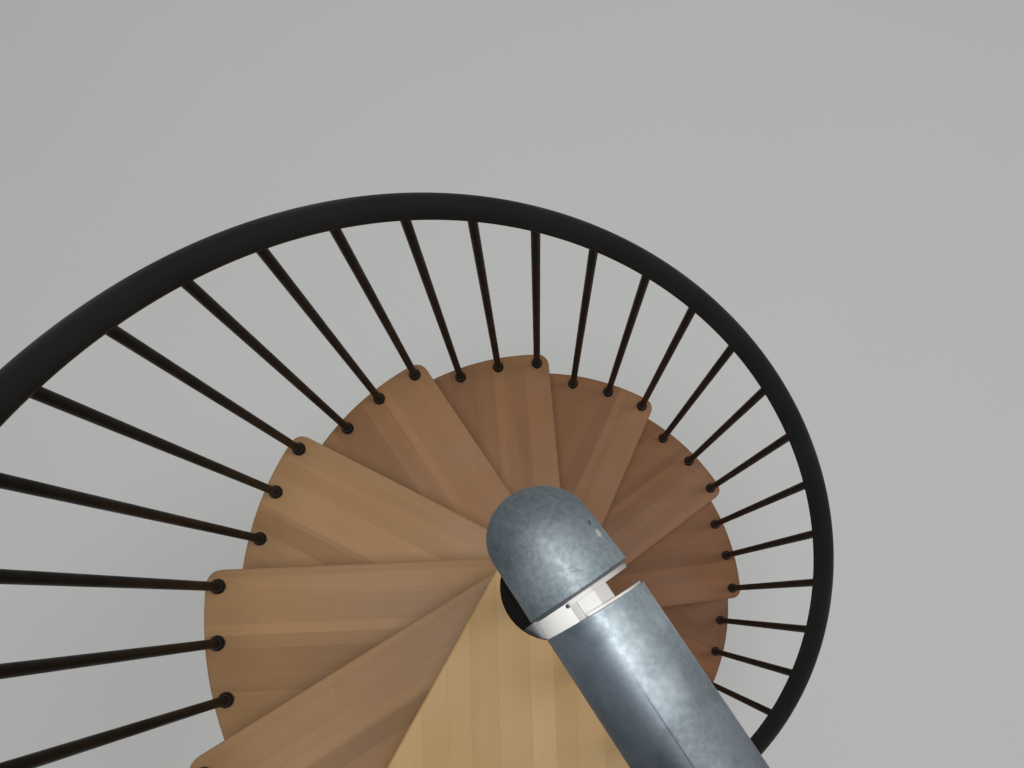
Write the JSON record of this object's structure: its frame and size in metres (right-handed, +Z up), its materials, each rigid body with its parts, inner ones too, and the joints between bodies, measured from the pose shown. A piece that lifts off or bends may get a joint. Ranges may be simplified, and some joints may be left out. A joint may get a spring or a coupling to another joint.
{
  "type": "spiral staircase",
  "caption": "Spiral staircase of wooden wedge treads round a central pole, with round black balusters, a helical handrail and a railed landing.",
  "frame": {"origin": "centre of the base flange's underside, on the floor and on the pole's axis", "axes": "+Z up along the pole; +X and +Y level; seen from above the stair climbs counter-clockwise and the landing lies towards -Y"},
  "size_m": [1.2077, 1.2076, 3.6995],
  "materials": {
    "tread_wood": "satin varnished laminated beech",
    "landing_wood": "satin varnished boards",
    "handrail_black": "satin",
    "light_core": "plain",
    "grey_cover": "mottled satin",
    "steel": "plain",
    "black_steel": "gloss"
  },
  "bodies": {
    "root": {"base_flange": "black_steel", "centre_pole": "black_steel", "column_spacers": "black_steel", "tread_01": "tread_wood", "tread_02": "tread_wood", "tread_03": "tread_wood", "tread_04": "tread_wood", "tread_05": "tread_wood", "tread_06": "tread_wood", "tread_07": "tread_wood", "tread_08": "tread_wood", "tread_09": "tread_wood", "tread_10": "tread_wood", "tread_11": "tread_wood", "tread_12": "tread_wood", "landing_platform": "landing_wood", "landing_brackets": "steel", "balusters_01": "black_steel", "balusters_02": "black_steel", "balusters_03": "black_steel", "balusters_04": "black_steel", "balusters_05": "black_steel", "balusters_06": "black_steel", "balusters_07": "black_steel", "balusters_08": "black_steel", "balusters_09": "black_steel", "balusters_10": "black_steel", "balusters_11": "black_steel", "balusters_12": "black_steel", "exit_baluster": "black_steel", "baluster_collars": "black_steel", "baluster_nuts": "black_steel", "floor_foot": "black_steel", "handrail_1": "handrail_black", "handrail_2": "handrail_black", "handrail_3": "handrail_black", "handrail_4": "handrail_black", "handrail_ends": "handrail_black", "newel_post": "black_steel", "rail_connector": "light_core", "rail_dome": "grey_cover", "rail_dome_core": "light_core", "landing_rail": "grey_cover", "landing_rail_core": "light_core", "landing_rail_end": "grey_cover", "landing_balusters": "black_steel", "end_post": "black_steel", "end_post_foot": "black_steel"}
  },
  "joints": []
}
